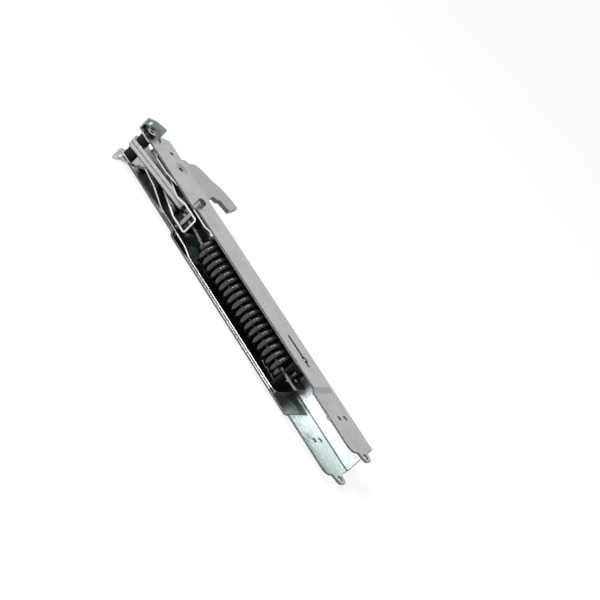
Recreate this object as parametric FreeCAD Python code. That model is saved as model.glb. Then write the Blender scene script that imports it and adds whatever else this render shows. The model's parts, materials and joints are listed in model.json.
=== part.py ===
"""Oven door hinge with a sprung hook arm, folded from plated steel sheet.

The model frame has X along the channel towards the pivot end, Y from the
channel's web towards its open side and Z up through the two flanges.
Everything is drawn about the pivot axis and moved to the mount at the end.
"""
import math
import os

import FreeCAD
import Part

# Outer channel
channel_width = 28.0
channel_sheet = 1.5
channel_bend = 2.5
flange_depth = 33.0
pivot_to_web = 26.0
web_pivot_end = -3.0
channel_length = 309.0
ear_reach = 11.0
ear_half_height = 4.6
ear_level = -7.0
ear_hole = 4.6
emboss_height = 2.3
emboss_ramp = 3.2
emboss_pivot_end = -81.0
emboss_from_ear_end = 51.0
emboss_web_gap = 7.0

# Holes in the flanges and the web
twin_hole = 4.0
twin_hole_from_end = 28.0
twin_hole_levels = (-13.8, -5.4)
small_hole = 3.6
small_hole_x = -19.0
dished_hole = 4.6
dished_hole_x = -35.5
hole_level = -13.5
dish_radius = 6.2
dish_depth = 0.8
slit_level = -5.4
slit_height = 2.6
slit_tail = 5.5
keyhole = 6.0
web_d_hole = 7.0
web_d_hole_from_end = 40.5
web_round_hole = 4.6
web_round_hole_x = -122.0
web_square_hole = 4.4
web_square_hole_x = -91.0
hook_slot_width = 14.0
hook_slot_end = -78.0

# Pivot, its recessed pads and the screw lugs
pivot_pin_radius = 3.0
pivot_head_radius = 5.4
pivot_head_height = 1.5
pivot_tip_radius = 3.8
pivot_tip_height = 1.6
pivot_dimple_radius = 1.7
pad_radius = 11.0
pad_depth = 1.0
spacer_radius = 5.3
lug_face_x = 7.5
lug_turn_level = -4.5
lug_end_x = 0.2
lug_end_level = -14.0
lug_turn_radius = 3.5
lug_corner = 1.5
lug_height = 9.6
lug_hole = 4.2
lug_hole_out = 5.2

# Arm
plate_thickness = 3.8
eye_radius = 7.5
arm_reach = 66.5
arm_corner = 2.0
arm_end_top = 5.6
arm_end_low = 9.5
arm_tangent = 79.0
arm_rivet_radius = 2.5
link_radius = 15.5
link_angle = 48.0
arm_travel = 90.0
link_pin_radius = 2.5
link_boss_radius = 6.0
# Distance in from the arm's far end, then depth below the pivot
arm_rivets = ((12.0, 12.4), (38.0, 7.0))
# The same two, then the corner's radius
hook_outline = (
    (8.5, 36.0, 14.0),
    (19.0, 58.5, 2.0),
    (15.0, 61.5, 0.8),
    (15.7, 65.5, 1.2),
    (4.7, 69.5, 1.2),
    (10.5, 87.0, 1.6),
    (20.5, 85.6, 16.0),
    (34.0, 80.4, 14.0),
    (39.5, 74.0, 10.0),
    (49.5, 70.0, 12.0),
    (56.1, 63.5, 5.0),
    (54.9, 53.4, 1.5),
    (58.7, 51.0, 1.5),
    (56.7, 40.0, 10.0),
    (48.0, 25.5, 10.0),
    (50.5, 14.0, 0.0),
)
side_plate_outline = (
    (2.5, 17.5, 4.0),
    (22.5, 18.5, 6.0),
    (44.5, 19.5, 6.0),
    (52.5, 17.0, 0.0),
)

# Lock latch on the arm
latch_pivot_in = 14.5
latch_pivot_depth = 29.3
latch_rest_angle = 198.0
latch_sheet = 1.5
latch_eye = 6.0
latch_length = 30.0
latch_bridge_level = 7.3
latch_rivet_radius = 2.5
latch_rivet_head = 3.6

# Spring carrier
carrier_sheet = 1.2
carrier_lip_x = -10.5
carrier_waist_x = -19.0
carrier_waist_half = 7.6
carrier_flush_x = -58.0
carrier_step_x = -98.0
carrier_wide_x = -108.0
carrier_from_emboss_end = 21.5
carrier_web_end = -62.0
carrier_low_edge = -20.0
carrier_top = 4.6
rivet_x = -76.0
rivet_level = -4.4
rivet_radius = 2.5
rivet_head_radius = 3.7
rivet_head_height = 4.2

# Fork, tie and spring
fork_sheet = 1.5
fork_half_width = 8.0
fork_bottom_x = -88.0
fork_top = 2.5
fork_low = -13.0
fork_jog_from = -70.0
fork_jog_to = -60.0
fork_low_rim = 2.2
fork_top_rim = 0.77
fork_pin_radius = 2.4
fork_pin_x = -78.5
fork_pin_level = -1.2
tie_thickness = 2.0
tie_height = 14.6
tie_tail_from_emboss_end = 13.0
tie_tail_hole = 4.0
tie_tail_hole_in = 8.5
spring_wire = 4.6
spring_radius = 12.3
spring_level = -5.5
spring_pitch = 6.4
spring_start_x = -107.0
spring_steps = 20
spring_sides = 10
seat_from_emboss_end = 30.0
seat_sheet = 2.0
seat_half_height = 10.0
seat_corner = 2.0
seat_round = 9.0
seat_pin_radius = 1.6

# Clearances
nest_gap = 0.1
run_gap = 0.3
pin_gap = 0.1
link_play = 0.8
slot_play = 0.5

# Levels that follow from the sizes above
half = channel_width / 2
inner_half = half - channel_sheet
web_out = -pivot_to_web
web_in = web_out + channel_sheet
web_ear_end = web_pivot_end - channel_length
emboss_ear_end = web_ear_end + emboss_from_ear_end
seat_face_x = emboss_ear_end + seat_from_emboss_end
carrier_ear_end = emboss_ear_end + carrier_from_emboss_end
tie_tail_x = emboss_ear_end + tie_tail_from_emboss_end
twin_hole_x = web_ear_end + twin_hole_from_end
web_d_hole_x = web_ear_end + web_d_hole_from_end
free_edge = flange_depth - pivot_to_web
pad_out = half - pad_depth
pad_in = inner_half - pad_depth
emboss_out = half + emboss_height
emboss_in = emboss_out - channel_sheet
link_x = -link_radius * math.cos(math.radians(link_angle))
link_y = -link_radius * math.sin(math.radians(link_angle))
link_end = -link_radius * math.cos(math.radians(link_angle + arm_travel))
tie_travel = link_end - link_x
link_reach = link_pin_radius + link_play
link_high = -link_radius * math.sin(math.radians(link_angle + arm_travel)) + pin_gap
fork_strip_low = -link_radius - link_reach - fork_low_rim
fork_strip_top = link_high + link_reach + fork_top_rim
latch_pivot = (-arm_reach + latch_pivot_in, -latch_pivot_depth)
leg_in = plate_thickness + run_gap
leg_out = leg_in + fork_sheet
tie_top = spring_level + tie_height / 2
tie_low = spring_level - tie_height / 2
seat_back_x = seat_face_x - seat_sheet
slit_pivot_end = seat_face_x + tie_travel + slot_play
slit_ear_end = seat_back_x - slot_play


def vec(x, y, z):
    return FreeCAD.Vector(x, y, z)


def outline(points):
    """Closed wire through (x, y) or (x, y, corner radius) points."""
    count = len(points)
    starts = []
    for index in range(count):
        here = vec(points[index][0], points[index][1], 0)
        radius = points[index][2] if len(points[index]) > 2 else 0.0
        if radius <= 0:
            starts.append((here, None, here))
            continue
        before = points[index - 1]
        after = points[(index + 1) % count]
        back = (vec(before[0], before[1], 0) - here).normalize()
        ahead = (vec(after[0], after[1], 0) - here).normalize()
        angle = back.getAngle(ahead)
        cut = radius / math.tan(angle / 2)
        bisector = (back + ahead).normalize()
        middle = here + bisector * (radius / math.sin(angle / 2) - radius)
        starts.append((here + back * cut, middle, here + ahead * cut))
    edges = []
    for index in range(count):
        first, middle, last = starts[index]
        if middle is not None:
            edges.append(Part.Arc(first, middle, last).toShape())
        following = starts[(index + 1) % count][0]
        if (following - last).Length > 1e-6:
            edges.append(Part.LineSegment(last, following).toShape())
    return Part.Wire(edges)


def plate(points, low, high):
    """Flat plate drawn in XY between two Z levels."""
    face = Part.Face(outline(points))
    face.translate(vec(0, 0, low))
    return face.extrude(vec(0, 0, high - low))


def strip(points, low, high):
    """Plate drawn in XZ between two Y levels."""
    face = Part.Face(outline(points))
    face.rotate(vec(0, 0, 0), vec(1, 0, 0), 90)
    face.translate(vec(0, low, 0))
    return face.extrude(vec(0, high - low, 0))


def cross_plate(points, low, high):
    """Plate drawn in YZ between two X levels."""
    face = Part.Face(outline(points))
    face.rotate(vec(0, 0, 0), vec(1, 1, 1), 120)
    face.translate(vec(low, 0, 0))
    return face.extrude(vec(high - low, 0, 0))


def box(x_low, x_high, y_low, y_high, z_low, z_high):
    corner = vec(x_low, y_low, z_low)
    return Part.makeBox(x_high - x_low, y_high - y_low, z_high - z_low, corner)


def post(x, y, radius, low, high):
    """Upright cylinder between two Z levels."""
    return Part.makeCylinder(radius, high - low, vec(x, y, low), vec(0, 0, 1))


def flip(shape):
    """Mirror image through the middle plane of the channel."""
    return shape.mirror(vec(0, 0, 0), vec(0, 0, 1))


def joined(shapes):
    whole = shapes[0]
    for shape in shapes[1:]:
        whole = whole.fuse(shape)
    return whole.removeSplitter()


def emboss(top):
    """Raised panel of a flange, open at the free edge, up to a Z level."""
    low = top - emboss_height
    open_edge = free_edge + emboss_ramp

    def ring(inset, level):
        corners = [
            vec(emboss_ear_end + inset, web_out + emboss_web_gap + inset, level),
            vec(emboss_pivot_end - inset, web_out + emboss_web_gap + inset, level),
            vec(emboss_pivot_end - inset, open_edge, level),
            vec(emboss_ear_end + inset, open_edge, level),
        ]
        return Part.makePolygon(corners + [corners[0]])

    raised = Part.makeLoft([ring(0, low), ring(emboss_ramp, top)], True, True)
    core = box(
        emboss_ear_end, emboss_pivot_end, web_out + emboss_web_gap, open_edge, 0, low
    )
    return raised.fuse(core)


def flange_outline():
    """Side profile of the channel with the ear and the cut pivot corner."""
    ear_tip = web_ear_end - ear_reach
    ear_root = web_ear_end - 2.5
    return [
        (web_ear_end, web_out),
        (web_pivot_end, web_out, 2.0),
        lug_line(channel_sheet / 2)[2],
        lug_line(channel_sheet / 2)[1],
        lug_line(channel_sheet / 2)[0],
        (ear_root + 0.5, free_edge, 6.0),
        (ear_root, ear_level + ear_half_height + 1.6, 1.2),
        (ear_tip, ear_level + ear_half_height, 3.6),
        (ear_tip, ear_level - ear_half_height, 3.6),
        (ear_root, ear_level - ear_half_height - 2.0, 1.2),
    ]


def lug_line(inset):
    """Plan of a lug's outer face, moved in: free edge, turn and far end."""
    turn = math.atan2(lug_face_x - lug_end_x, lug_turn_level - lug_end_level)
    return [
        (lug_face_x - inset, free_edge),
        (lug_face_x - inset, lug_turn_level + inset * math.tan(turn / 2)),
        (lug_end_x - inset * math.cos(turn), lug_end_level + inset * math.sin(turn)),
    ]


def make_lug():
    """Screw lug bent out of the recessed pad and round the cut corner."""
    top = pad_out + lug_height + pad_depth
    outer = lug_line(0)
    inner = lug_line(channel_sheet)
    wall_plan = [
        outer[0],
        outer[1] + (lug_turn_radius + channel_sheet,),
        outer[2],
        inner[2],
        inner[1] + (lug_turn_radius,),
        inner[0],
    ]
    foot_plan = [
        outer[0],
        outer[1] + (lug_turn_radius + channel_sheet,),
        outer[2],
        (-pivot_pin_radius, lug_end_level),
        (-pivot_pin_radius, free_edge),
    ]
    wall = plate(wall_plan, pad_in, top)
    foot = plate(foot_plan, pad_in, pad_out)
    lug = joined([wall, foot])
    folds = []
    for edge in lug.Edges:
        middle = edge.CenterOfMass
        at_fold = abs(middle.z - pad_in) < 1e-6 and middle.x > outer[2][0]
        inside = abs(middle.y - free_edge) < 1e-6 or abs(middle.y - lug_end_level) < 1e-6
        if at_fold and not inside:
            folds.append(edge)
    lug = lug.makeFillet(channel_sheet * 0.8, folds)
    shape = [
        (lug_end_level - 1, 0),
        (free_edge, 0),
        (free_edge, top, lug_corner),
        (lug_end_level, top - lug_corner, lug_corner),
        (lug_end_level - 1, inner_half),
    ]
    lug = lug.common(cross_plate(shape, -half, lug_face_x + 1))
    around = box(-half, half, lug_end_level - 1, free_edge, 0, inner_half)
    lug = lug.cut(around.cut(post(0, 0, pad_radius, 0, half)))
    axis_at = vec(0, 0, half + lug_hole_out)
    return lug.cut(Part.makeCylinder(lug_hole / 2, 20, axis_at, vec(1, 0, 0)))


def lining(inset):
    """Room inside the channel, kept clear of its walls by an inset."""
    start = web_ear_end - ear_reach - 2
    side = inner_half - inset
    floor = web_in + inset
    bend = channel_bend - channel_sheet
    corners = [
        (floor, -side, bend),
        (free_edge + 1, -side),
        (free_edge + 1, side),
        (floor, side, bend),
    ]
    room = cross_plate(corners, start, lug_face_x + 1)
    raised = emboss(emboss_in - inset)
    return room.fuse(raised).fuse(flip(raised))


def make_channel():
    start = web_ear_end - ear_reach - 1
    end = lug_face_x
    corners_out = [
        (web_out, -half, channel_bend),
        (free_edge, -half),
        (free_edge, half),
        (web_out, half, channel_bend),
    ]
    skin = cross_plate(corners_out, start, end)
    hollow = lining(0)
    pad = post(0, 0, pad_radius, pad_out, half + 1)
    pad_fill = post(0, 0, pad_radius, pad_in, half)
    dish_at = vec(dished_hole_x, hole_level, half - dish_depth)
    dish = Part.makeCone(dish_radius - 2.4, dish_radius, dish_depth, dish_at)
    dish_fill = dish.copy()
    dish_fill.translate(vec(0, 0, -channel_sheet))
    raised = emboss(emboss_out)
    skin = skin.fuse(raised).fuse(flip(raised))
    skin = skin.cut(pad).cut(flip(pad)).cut(dish).cut(flip(dish))
    hollow = hollow.cut(pad_fill).cut(flip(pad_fill))
    hollow = hollow.cut(dish_fill).cut(flip(dish_fill))
    channel = skin.cut(hollow)
    profile = plate(flange_outline(), -emboss_out - 1, emboss_out + 1)
    channel = channel.common(profile)
    tall = emboss_out + 1
    beyond = box(start - 1, web_ear_end, web_out - 1, web_in + 1.2, -inner_half, inner_half)
    web_trim = box(
        web_pivot_end, end, web_out - 1, web_in + 1.2, -tall, tall
    )
    channel = channel.cut(beyond).cut(web_trim)

    lug = make_lug()
    channel = joined([channel, lug, flip(lug)])

    cuts = [
        post(0, 0, pivot_pin_radius + pin_gap, -tall, tall),
        post(rivet_x, rivet_level, rivet_radius + pin_gap, -tall, tall),
        post(small_hole_x, hole_level, small_hole / 2, -tall, tall),
        post(dished_hole_x, hole_level, dished_hole / 2, -tall, tall),
        post(web_ear_end - ear_reach + ear_half_height, ear_level, ear_hole / 2, -tall, tall),
    ]
    for level in twin_hole_levels:
        cuts.append(post(twin_hole_x, level, twin_hole / 2, -tall, tall))
    cuts += slit_cuts(slit_ear_end - slit_tail, tall) + keyhole_cuts(tall)
    cuts += web_cuts()
    cuts.append(slot_cut(web_out - 1, web_in + 1))
    for cut in cuts:
        channel = channel.cut(cut)
    return channel


def web_cuts():
    """Holes through the channel's web and the carrier's web on it."""
    low = web_out - 1
    high = web_in + nest_gap + carrier_sheet + 0.4
    along = vec(0, 1, 0)
    d_hole = Part.makeCylinder(web_d_hole / 2, high - low, vec(web_d_hole_x, low, 0), along)
    flat = web_d_hole_x + web_d_hole / 4
    side = web_d_hole / 2
    d_hole = d_hole.common(box(web_d_hole_x - side, flat, low, high, -side, side))
    round_at = vec(web_round_hole_x, low, 0)
    round_hole = Part.makeCylinder(web_round_hole / 2, high - low, round_at, along)
    square = web_square_hole / 2
    square_hole = box(
        web_square_hole_x - square,
        web_square_hole_x + square,
        low,
        high,
        -square,
        square,
    )
    return [d_hole, round_hole, square_hole]


def slit_cuts(ear_end, tall):
    """Guide slits for the nibs of the spring seat."""
    guide = box(
        ear_end,
        slit_pivot_end,
        slit_level - slit_height / 2,
        slit_level + slit_height / 2,
        -tall,
        tall,
    )
    return [guide]


def keyhole_cuts(tall):
    """Round holes over the nibs at rest, which let the nibs in."""
    entry_x = (seat_face_x + seat_back_x) / 2
    return [post(entry_x, slit_level, keyhole / 2, -tall, tall)]


def slot_cut(low, high):
    """Hook slot through a web, open at the pivot end, with a round ear end."""
    side = hook_slot_width / 2
    corners = [
        (hook_slot_end, -side, 3.0),
        (lug_face_x + 1, -side),
        (lug_face_x + 1, side),
        (hook_slot_end, side, 3.0),
    ]
    return strip(corners, low, high)


def carrier_side(inset):
    """Half plan of the carrier, from the pivot lip to the ear end."""
    flush = inner_half - nest_gap - inset
    waist = carrier_waist_half - inset
    wide = emboss_in - nest_gap - inset
    return [
        (carrier_lip_x, flush),
        (carrier_lip_x - 2.6, flush, 1.6),
        (carrier_waist_x, waist, 4.0),
        (carrier_waist_x - 17.0, waist + 0.7, 9.0),
        (carrier_flush_x, flush, 9.0),
        (carrier_step_x, flush, 5.0),
        (carrier_wide_x, wide, 5.0),
        (carrier_ear_end, wide),
    ]


def carrier_plan(inset):
    near = carrier_side(inset)
    far = []
    for point in reversed(near):
        far.append((point[0], -point[1]) + tuple(point[2:]))
    return near + far


def make_carrier():
    low = web_in + nest_gap
    skin = strip(carrier_plan(0), low, carrier_top).common(lining(nest_gap))
    hollow_plan = carrier_plan(carrier_sheet)
    ends = len(hollow_plan) // 2
    hollow_plan[0] = (carrier_lip_x + 1, hollow_plan[0][1])
    hollow_plan[-1] = (carrier_lip_x + 1, hollow_plan[-1][1])
    hollow_plan[ends - 1] = (carrier_ear_end - 1, hollow_plan[ends - 1][1])
    hollow_plan[ends] = (carrier_ear_end - 1, hollow_plan[ends][1])
    hollow = strip(hollow_plan, low + carrier_sheet, carrier_top + 1)
    carrier = skin.cut(hollow.common(lining(nest_gap + carrier_sheet)))
    top = carrier_top
    profile = [
        (carrier_lip_x, -12.0, 3.0),
        (carrier_lip_x, -3.5, 2.0),
        (carrier_waist_x, -0.7, 8.0),
        (carrier_flush_x, top - 1.2, 14.0),
        (carrier_step_x, top, 20.0),
        (carrier_ear_end, top, 6.0),
        (carrier_ear_end, low, 9.0),
        (carrier_web_end, low),
        (carrier_web_end, carrier_low_edge, 4.0),
        (carrier_waist_x, carrier_low_edge, 6.0),
    ]
    carrier = carrier.common(plate(profile, -emboss_out, emboss_out))
    cuts = [slot_cut(low - 1, low + carrier_sheet + 0.6)]
    cuts += slit_cuts(slit_ear_end, emboss_out) + web_cuts()
    cuts.append(post(rivet_x, rivet_level, rivet_radius + pin_gap, -half, half))
    for cut in cuts:
        carrier = carrier.cut(cut)
    return carrier


def make_carrier_rivet():
    inner = inner_half - nest_gap - carrier_sheet
    shank = post(rivet_x, rivet_level, rivet_radius, inner - 0.8, half + 0.4)
    head = post(rivet_x, rivet_level, rivet_head_radius, half, half + rivet_head_height)
    neck = post(rivet_x, rivet_level, rivet_head_radius, inner - 0.8, inner)
    head = head.makeFillet(0.5, [edge_at(head, half + rivet_head_height)])
    dimple = post(
        rivet_x,
        rivet_level,
        rivet_radius - 0.5,
        half + rivet_head_height - 1.0,
        half + rivet_head_height + 1,
    )
    return joined([shank, head, neck]).cut(dimple)


def edge_at(shape, level):
    """Round edge of an upright cylinder at a Z level."""
    for edge in shape.Edges:
        box_of = edge.BoundBox
        if abs(box_of.ZMin - level) < 1e-6 and abs(box_of.ZMax - level) < 1e-6:
            return edge
    raise ValueError("no edge at that level")


def make_pivot_pin():
    """Cross pin, upset at both ends into a flat head with a dimpled tip."""
    rim = pad_out + pivot_head_height
    top = rim + pivot_tip_height
    shank = post(0, 0, pivot_pin_radius, -rim, rim)
    head = post(0, 0, pivot_head_radius, pad_out, rim)
    head = head.makeFillet(pivot_head_height / 3, [edge_at(head, rim)])
    tip = post(0, 0, pivot_tip_radius, pad_out, top)
    tip = tip.makeFillet(pivot_tip_height / 3, [edge_at(tip, top)])
    dimple = post(0, 0, pivot_dimple_radius, rim, top + 1)
    end = joined([head, tip]).cut(dimple)
    return joined([shank, end, flip(end)])


def make_spacer():
    low = plate_thickness + pin_gap
    high = pad_in - pin_gap
    body = post(0, 0, spacer_radius, low, high)
    rims = [edge_at(body, low), edge_at(body, high)]
    body = body.makeChamfer(0.4, rims)
    return body.cut(post(0, 0, pivot_pin_radius + pin_gap, low - 1, high + 1))


def arm_body(points, low, high):
    """Arm plate: an outline fused with the pivot eye and the link boss."""
    body = plate(points, low, high)
    eye = post(0, 0, eye_radius, low, high)
    boss = post(link_x, link_y, link_boss_radius, low, high)
    body = joined([body, eye, boss])
    cuts = [
        post(0, 0, pivot_pin_radius + pin_gap, low - 1, high + 1),
        post(link_x, link_y, link_pin_radius + pin_gap, low - 1, high + 1),
    ]
    for x, y in arm_rivet_places():
        cuts.append(post(x, y, arm_rivet_radius + pin_gap, low - 1, high + 1))
    for cut in cuts:
        body = body.cut(cut)
    return body


def arm_rivet_places():
    return [(-arm_reach + along, -depth) for along, depth in arm_rivets]


def arm_top_edge():
    """Upper edge shared by both arm plates, from the eye to the far corner."""
    tangent = math.radians(arm_tangent)
    return [
        (eye_radius / 4, 0.0),
        (eye_radius * math.cos(tangent), eye_radius * math.sin(tangent)),
        (-arm_reach + arm_corner, -arm_end_top, arm_corner),
        (-arm_reach, -arm_end_low, arm_corner),
    ]


def from_far_end(points):
    """Outline points given from the arm's far end, in the pivot's frame."""
    return [(-arm_reach + along, -depth, radius) for along, depth, radius in points]


def make_hook_arm():
    points = arm_top_edge() + from_far_end(hook_outline)
    arm = arm_body(points, 0, plate_thickness)
    hole = post(
        latch_pivot[0], latch_pivot[1], latch_rivet_radius + pin_gap, -1, plate_thickness + 1
    )
    return arm.cut(hole)


def make_side_plate():
    points = arm_top_edge() + from_far_end(side_plate_outline)
    return arm_body(points, -plate_thickness, -pin_gap / 5)


def make_arm_rivet(place):
    reach = plate_thickness
    return post(place[0], place[1], arm_rivet_radius, -reach, reach)


def make_link_pin():
    reach = leg_out + pin_gap
    pin = post(link_x, link_y, link_pin_radius, -reach, reach)
    rims = [edge_at(pin, reach), edge_at(pin, -reach)]
    return pin.makeChamfer(0.3, rims)


def make_latch():
    """Folded clip that straddles the hook plate, drawn pointing along X."""
    near = plate_thickness + run_gap
    far = -run_gap
    bridge_low = latch_bridge_level
    bridge_high = bridge_low + latch_sheet
    fold_from = latch_eye + 5.0
    cheek = [
        (0, -latch_eye),
        (latch_length - 8.0, -latch_eye + 1.5, 6.0),
        (latch_length, 0.5, 4.0),
        (latch_length, bridge_high),
        (fold_from, bridge_high, 1.5),
        (fold_from - 4.0, latch_eye, 3.0),
        (0, latch_eye),
    ]

    def side(low):
        flat = plate(cheek, low, low + latch_sheet)
        eye = post(0, 0, latch_eye, low, low + latch_sheet)
        return flat.fuse(eye)

    bridge = box(
        fold_from,
        latch_length,
        bridge_low,
        bridge_high,
        far - latch_sheet,
        near + latch_sheet,
    )
    clip = joined([side(near), side(far - latch_sheet), bridge])
    folds = []
    for edge in clip.Edges:
        mid = edge.BoundBox
        flat = mid.YMax - mid.YMin < 1e-6 and mid.ZMax - mid.ZMin < 1e-6
        at_fold = abs(mid.YMin - bridge_high) < 1e-6
        long_edge = mid.XMax - mid.XMin > latch_length / 3
        if flat and at_fold and long_edge:
            folds.append(edge)
    clip = clip.makeFillet(latch_sheet * 0.9, folds)
    clip = clip.cut(
        post(0, 0, latch_rivet_radius + pin_gap, far - latch_sheet - 1, near + latch_sheet + 1)
    )
    clip = clip.mirror(vec(0, 0, 0), vec(0, 1, 0))
    clip.rotate(vec(0, 0, 0), vec(0, 0, 1), latch_rest_angle)
    clip.translate(vec(latch_pivot[0], latch_pivot[1], 0))
    return clip


def make_latch_rivet():
    top = plate_thickness + run_gap + latch_sheet + pin_gap
    bottom = -run_gap - latch_sheet - pin_gap
    x, y = latch_pivot
    shank = post(x, y, latch_rivet_radius, bottom - 0.8, top + 0.8)
    upper = post(x, y, latch_rivet_head, top, top + 0.8)
    lower = post(x, y, latch_rivet_head, bottom - 0.8, bottom)
    upper = upper.makeFillet(0.4, [edge_at(upper, top + 0.8)])
    lower = lower.makeFillet(0.4, [edge_at(lower, bottom - 0.8)])
    return joined([shank, upper, lower])


def fork_plan(inset):
    wide = fork_half_width - inset
    slim = leg_out - inset
    end = link_x + link_boss_radius
    near = [
        (end, slim),
        (fork_jog_to, slim, 6.0),
        (fork_jog_from, wide, 6.0),
        (fork_bottom_x + inset, wide, 2.5 - inset),
    ]
    far = []
    for point in reversed(near):
        far.append((point[0], -point[1]) + tuple(point[2:]))
    return near + far


def make_fork():
    skin = strip(fork_plan(0), fork_strip_low, fork_top)
    hollow_plan = fork_plan(fork_sheet)
    hollow_plan[0] = (hollow_plan[0][0] + 1, hollow_plan[0][1])
    hollow_plan[-1] = (hollow_plan[-1][0] + 1, hollow_plan[-1][1])
    hollow = strip(hollow_plan, fork_strip_low - 1, fork_top + 1)
    fork = skin.cut(hollow)
    end = link_x + link_boss_radius
    profile = [
        (fork_bottom_x, fork_low, 2.0),
        (fork_jog_to - 4.0, fork_low, 10.0),
        (fork_jog_to + 24.0, fork_strip_low, 10.0),
        (end, fork_strip_low, 5.0),
        (end, fork_strip_top, 5.0),
        (fork_jog_to + 24.0, fork_strip_top, 10.0),
        (fork_jog_to, fork_top, 8.0),
        (fork_bottom_x, fork_top),
    ]
    fork = fork.common(plate(profile, -half, half))
    low = -link_radius - link_reach
    high = link_high + link_reach
    rounding = link_reach - 0.1
    slot = [
        (link_x - link_reach, low, rounding),
        (link_x + link_reach, low, rounding),
        (link_x + link_reach, high, rounding),
        (link_x - link_reach, high, rounding),
    ]
    fork = fork.cut(plate(slot, -half, half))
    fork = fork.cut(post(fork_pin_x, fork_pin_level, fork_pin_radius + pin_gap, -half, half))
    window = box(
        fork_bottom_x - 1,
        fork_bottom_x + fork_sheet + 1,
        tie_low - 1,
        fork_pin_level,
        -tie_thickness / 2 - run_gap,
        tie_thickness / 2 + run_gap,
    )
    return fork.cut(window)


def make_fork_pin():
    reach = fork_half_width
    return post(fork_pin_x, fork_pin_level, fork_pin_radius, -reach, reach)


def make_tie():
    reach = fork_pin_radius + pin_gap
    hook_tip = fork_pin_x + reach + 3.6
    neck = fork_pin_level - 0.6
    points = [
        (tie_tail_x, tie_low, 3.0),
        (hook_tip, tie_low, 5.0),
        (hook_tip, fork_pin_level, 1.6),
        (fork_pin_x, fork_pin_level),
        (fork_pin_x - reach, fork_pin_level),
        (fork_bottom_x - 4.0, neck, 6.0),
        (spring_start_x - 2.0, tie_top, 6.0),
        (tie_tail_x, tie_top, 3.0),
    ]
    thick = tie_thickness / 2
    tie = plate(points, -thick, thick)
    cuts = [
        post(fork_pin_x, fork_pin_level, reach, -half, half),
        post(tie_tail_x + tie_tail_hole_in, spring_level, tie_tail_hole / 2, -half, half),
        post(seat_pin_x(), spring_level, seat_pin_radius + pin_gap, -half, half),
    ]
    for cut in cuts:
        tie = tie.cut(cut)
    return tie


def seat_pin_x():
    return seat_back_x - seat_pin_radius - pin_gap


def make_seat():
    side = emboss_in - nest_gap - carrier_sheet - run_gap
    nib = emboss_out - 0.2
    nib_half = slit_height / 2 - run_gap
    body = cross_plate(
        [
            (spring_level - seat_half_height, -side, seat_round),
            (spring_level + seat_half_height, -side, seat_corner),
            (spring_level + seat_half_height, side, seat_corner),
            (spring_level - seat_half_height, side, seat_round),
        ],
        seat_back_x,
        seat_face_x,
    )
    nibs = box(
        seat_back_x, seat_face_x, slit_level - nib_half, slit_level + nib_half, -nib, nib
    )
    window = box(
        seat_back_x - 1,
        seat_face_x + 1,
        tie_low - run_gap,
        spring_level + seat_half_height + 1,
        -tie_thickness / 2 - run_gap,
        tie_thickness / 2 + run_gap,
    )
    return joined([body, nibs]).cut(window)


def make_seat_pin():
    return post(seat_pin_x(), spring_level, seat_pin_radius, -5.0, 5.0)


def make_spring():
    """Compression spring with closed ends, its wire in short mitred lengths."""
    mean = spring_radius - spring_wire / 2
    first = spring_start_x - spring_wire / 2 - run_gap
    last = seat_face_x + spring_wire / 2 + run_gap
    length = first - last
    close = spring_wire + pin_gap
    live_turns = round((length - 2 * close) / spring_pitch)
    live_pitch = (length - 2 * close) / live_turns
    points = []
    for step in range((live_turns + 2) * spring_steps + 1):
        turn = step / spring_steps
        live = min(max(turn - 1, 0), live_turns)
        along = close * (turn - live) + live_pitch * live
        angle = 2 * math.pi * turn
        points.append(vec(first - along, mean * math.cos(angle), mean * math.sin(angle)))
    heading = (points[1] - points[0]).normalize()
    out = vec(0, 1, 0) - heading * heading.y
    out.normalize()
    over = heading.cross(out)
    ring = []
    for side in range(spring_sides):
        angle = 2 * math.pi * side / spring_sides
        offset = out * math.cos(angle) + over * math.sin(angle)
        ring.append(points[0] + offset * (spring_wire / 2))
    section = Part.makePolygon(ring + [ring[0]])
    coil = Part.makePolygon(points).makePipeShell([section], True, False, 1)
    coil.translate(vec(0, spring_level, 0))
    return coil


def save(name, shape):
    solids = shape.Solids
    if len(solids) != 1:
        raise ValueError(name + " is not one solid: " + str(len(solids)))
    piece = solids[0].copy()
    piece.translate(vec(-lug_face_x, 0, 0))
    if not piece.isValid():
        raise ValueError(name + " is not valid")
    piece.exportStep("parts/" + name + ".step")


os.makedirs("parts", exist_ok=True)
rivet = make_carrier_rivet()
spacer = make_spacer()
save("door_channel", make_channel())
save("spring_carrier", make_carrier())
save("carrier_rivet_upper", rivet)
save("carrier_rivet_lower", flip(rivet))
save("pivot_pin", make_pivot_pin())
save("pivot_spacer_upper", spacer)
save("pivot_spacer_lower", flip(spacer))
save("hook_arm", make_hook_arm())
save("arm_side_plate", make_side_plate())
save("arm_rivet_outer", make_arm_rivet(arm_rivet_places()[0]))
save("arm_rivet_inner", make_arm_rivet(arm_rivet_places()[1]))
save("link_pin", make_link_pin())
save("latch", make_latch())
save("latch_rivet", make_latch_rivet())
save("fork", make_fork())
save("fork_pin", make_fork_pin())
save("tie_plate", make_tie())
save("spring_seat", make_seat())
save("seat_pin", make_seat_pin())
save("coil_spring", make_spring())
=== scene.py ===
# %% [markdown]
# # An oven door hinge in plated steel
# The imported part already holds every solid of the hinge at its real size: the folded
# channel, the spring carrier in it, the hooked arm on its cross pin, the lock latch and the
# fork with its tie plate and spring. This lesson gives those solids their metals, winds a
# smooth spring, and sets up the light and the camera.

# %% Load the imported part
import json
import math

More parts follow.
